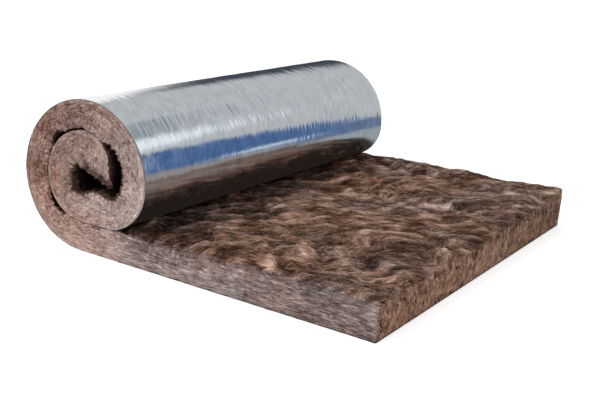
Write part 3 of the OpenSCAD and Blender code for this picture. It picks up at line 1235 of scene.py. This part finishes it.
stageLook = {
    "floor": (0.95, 0.95, 0.95, 1),
    "floorSize": 30,
    "floorGlow": 0.45,            # lifts the floor to white, where it is seen
    "ambient": 0.58,
    "lamps": (                    # name, place, size, watts
        ("key", (-1.8, -4.4, 3.8), 2.6, 190),
        ("fill", (4.4, -2.4, 2.6), 3.0, 70),
    ),
    # cards stand at the far side and show in the foil: four corners from the lower left round, as azimuth
    # from +Y towards +X and height above level, in degrees; range; colour; shares that fade out left, right,
    # low and high; each has a twin at the near side, so that the foil looks alike from both
    "cards": {
        "card_grey": (((-41, -3), (48, -3), (48, 54), (-41, 54)), 9.0,
                      (0.51, 0.53, 0.55, 1), (0.12, 0.12, 0.05, 0.05)),
        "card_shade": (((4, 42), (31, 33.5), (31, 46), (4, 54)), 5.0,
                       (0.25, 0.29, 0.34, 1), (0.15, 0.1, 0.15, 0.3)),
        "card_white": (((25, 22), (46, 24), (46, 44), (25, 37)), 4.0,
                       (0.88, 0.96, 1.0, 1), (0.45, 0.05, 0.35, 0.3)),
        "card_blue": (((16, -10.9), (62, 2.5), (62, 32.5), (16, -6.2)), 1.65,
                      (0.07, 0.14, 0.31, 1), (0.42, 0.02, 0.1, 0.2)),
        "card_streak": (((32, -4), (51, 0), (51, 4.2), (32, 0.4)), 1.45,
                        (0.55, 0.65, 0.75, 1), (0.35, 0.35, 0.3, 0.3)),
        "card_low": (((-20, -8), (40, -8), (40, 3), (-20, -3)), 1.9,
                     (0.22, 0.26, 0.30, 1), (0.1, 0.1, 0.2, 0.2)),
        "card_side": (((36, -8), (84, -8), (84, 12), (36, 4)), 1.95,
                      (0.30, 0.28, 0.275, 1), (0.1, 0.1, 0.2, 0.2)),
        "card_dark": (((-53, -9), (10, -9), (10, 14), (-53, 31)), 1.8,
                      (0.05, 0.06, 0.08, 1), (0.27, 0.1, 0.12, 0.2)),
    },
    # these stand once, at the roll's two long sides
    "sideCards": {
        "card_left": (((-150, 15), (-54, 15), (-54, 56), (-150, 56)), 6.0,
                      (0.46, 0.48, 0.50, 1), (0.1, 0.08, 0.25, 0.3)),
        "card_left_low": (((-165, -8), (-57, -8), (-57, 7), (-165, 7)), 1.9,
                          (0.22, 0.23, 0.25, 1), (0.1, 0.05, 0.3, 0.3)),
        "card_right": (((64, 18), (116, 18), (116, 52), (64, 52)), 6.0,
                       (0.46, 0.48, 0.50, 1), (0.15, 0.15, 0.25, 0.3)),
    },
    # flags lie level for the same purpose: x and y limits, height, colour, fades
    "flags": {
        "flag_far": ((axisX, 1.3), (halfWide, 1.9), 0.002,
                     (0.33, 0.36, 0.39, 1), (0.05, 0.05, 0.05, 0.05)),
        "flag_near": ((axisX, 1.3), (-1.9, -halfWide), 0.002,
                      (0.33, 0.36, 0.39, 1), (0.05, 0.05, 0.05, 0.05)),
        "flag_side": ((cutX, 1.9), (-0.7, 1.5), 0.003,
                      (0.17, 0.15, 0.145, 1), (0.05, 0.05, 0.05, 0.05)),
        # a grey sheet over the flap, seen only in the foil: a painted reflection of the flap
        "flag_flap_reflection": ((axisX + 0.28, cutX + 0.05), (-0.62, 0.62), 0.097,
                      (0.25, 0.23, 0.225, 1), (0.6, 0.05, 0.03, 0.03)),
        # a near-black sheet by the roll's foot, seen only in the foil: painted shade of the nip
        "flag_nip_shade": ((axisX - 0.16, axisX + 0.40), (-0.62, 0.68), 0.095,
                     (0.018, 0.013, 0.011, 1), (0.5, 0.5, 0.03, 0.14)),
        # a dark sheet along the flap's far edge, seen only in the foil: painted shade there
        "flag_end_shade": ((axisX - 0.10, axisX + 0.75), (halfWide - 0.03, 0.69), 0.088,
                     (0.05, 0.05, 0.052, 1), (0.05, 0.45, 0.02, 0.5)),
        # a grey sheet on the floor left of the roll, seen only in the foil: painted shadow of the floor
        "flag_left_shadow": ((axisX - 1.7, axisX - 0.1), (-1.1, 1.1), 0.003,
                      (0.36, 0.37, 0.39, 1), (0.5, 0.1, 0.35, 0.35)),
        "flag_top": ((axisX - 1.1, axisX + 1.1), (-1.3, 1.3), 2.6,
                     (0.50, 0.52, 0.55, 1), (0.35, 0.35, 0.35, 0.35)),
    },
}


def seenRays(tree):  # 1 where the camera sees a surface, straight or by way of metal or glass
    rays = put(tree, "ShaderNodeLightPath").outputs
    most = rays["Is Camera Ray"]
    for name in ("Is Glossy Ray", "Is Transmission Ray"):
        most = maths(tree, "MAXIMUM", most, rays[name])
    return most


def makeFloor():
    place = (0, 0, foilLow.z - winding["foilThick"])
    bpy.ops.mesh.primitive_plane_add(size=stageLook["floorSize"], location=place)
    floor = bpy.context.object
    floor.name = "floor"
    material, tree, shader = newMaterial("pale_floor")
    fill(tree, shader, {
        "Base Color": stageLook["floor"],
        "Roughness": 0.9,
        "Specular IOR Level": 0.0,
        "Emission Color": (1, 1, 1, 1),
        "Emission Strength": maths(tree, "MULTIPLY", seenRays(tree), stageLook["floorGlow"]),
    })
    floor.data.materials.append(material)


def makeCard(name, corners, away, colour, fade, twin=False):
    spots = []
    for azimuth, height in corners:
        a, e = math.radians(180 - azimuth if twin else azimuth), math.radians(height)
        facing = Vector((math.sin(a) * math.cos(e), math.cos(a) * math.cos(e), math.sin(e)))
        spots.append(Vector((axisX, 0, axisZ)) + facing * away)
    makeReflector(name, spots, colour, fade)


def makeFlag(name, limitsX, limitsY, height, colour, fade):
    (left, right), (near, far) = limitsX, limitsY
    spots = [(left, near, height), (right, near, height), (right, far, height), (left, far, height)]
    makeReflector(name, spots, colour, fade)


def makeReflector(name, spots, colour, fade):
    material, tree, shader = newMaterial(name)
    place = put(tree, "ShaderNodeTexCoord").outputs["UV"]
    split = put(tree, "ShaderNodeSeparateXYZ", {0: place}).outputs
    left, right, low, high = fade
    solid = 1.0
    for axis, start, end in (("X", 0, left), ("X", 1, 1 - right), ("Y", 0, low), ("Y", 1, 1 - high)):
        solid = maths(tree, "MULTIPLY", solid, remap(tree, split[axis], start, end, 0.0, 1.0))
    fill(tree, shader, {
        "Base Color": (0, 0, 0, 1),
        "Specular IOR Level": 0.0,
        "Emission Color": colour,
        "Emission Strength": 1.0,
        "Alpha": solid,
    })
    card = addPiece(name, spots, [(0, 1, 2, 3)], [material])
    layer = card.data.uv_layers.new(name="card")
    for corner, spot in zip(layer.data, ((0, 0), (1, 0), (1, 1), (0, 1))):
        corner.uv = spot
    card.visible_camera = False
    card.visible_diffuse = False
    card.visible_shadow = False


def makeWorld():
    world = bpy.data.worlds.new("studio")
    bpy.context.scene.world = world
    world.use_nodes = True
    tree = world.node_tree
    tree.nodes.clear()
    soft, white = (
        put(tree, "ShaderNodeBackground", {"Color": (1, 1, 1, 1), "Strength": strength}).outputs[0]
        for strength in (stageLook["ambient"], 1.0)
    )
    both = put(tree, "ShaderNodeMixShader", {0: seenRays(tree), 1: soft, 2: white}).outputs[0]
    put(tree, "ShaderNodeOutputWorld", {"Surface": both})


def makeLamp(name, place, size, watts):
    light = bpy.data.lights.new(name, "AREA")
    light.shape = "DISK"
    light.size = size
    light.energy = watts
    lamp = bpy.data.objects.new(name, light)
    bpy.context.scene.collection.objects.link(lamp)
    lamp.location = place
    lamp.rotation_mode = "QUATERNION"
    lamp.rotation_quaternion = (lamp.location - Vector((0, 0, axisZ))).to_track_quat("Z", "Y")
    lamp.visible_glossy = False


view = {
    "azimuth": 29.031, "elevation": 15.526, "tilt": 5.948,   # degrees
    "aim": (-0.1741, 0.2117, 0.0), "away": 3.223,
    "lens": 65.75, "sensor": 36,                             # millimetres
}


def makeCamera():
    camera = bpy.data.objects.new("camera", bpy.data.cameras.new("camera"))
    bpy.context.scene.collection.objects.link(camera)
    a, e, t = (math.radians(view[k]) for k in ("azimuth", "elevation", "tilt"))
    back = Vector((math.sin(a) * math.cos(e), -math.cos(a) * math.cos(e), math.sin(e)))
    right = Vector((math.cos(a), math.sin(a), 0))
    up = back.cross(right)
    tiltedRight = right * math.cos(t) + up * math.sin(t)
    tiltedUp = up * math.cos(t) - right * math.sin(t)
    turn = Matrix((tiltedRight, tiltedUp, back)).transposed().to_4x4()
    camera.matrix_world = Matrix.Translation(Vector(view["aim"]) + back * view["away"]) @ turn
    camera.data.lens = view["lens"]
    camera.data.sensor_width = view["sensor"]
    bpy.context.scene.camera = camera


makeFloor()
for name, card in stageLook["cards"].items():
    makeCard(name, *card)
    makeCard(name + "_twin", *card, twin=True)
for name, card in stageLook["sideCards"].items():
    makeCard(name, *card)
for name, flag in stageLook["flags"].items():
    makeFlag(name, *flag)
makeWorld()
for lamp in stageLook["lamps"]:
    makeLamp(*lamp)
makeCamera()
bpy.context.scene.view_settings.view_transform = "Standard"
print("stage set")
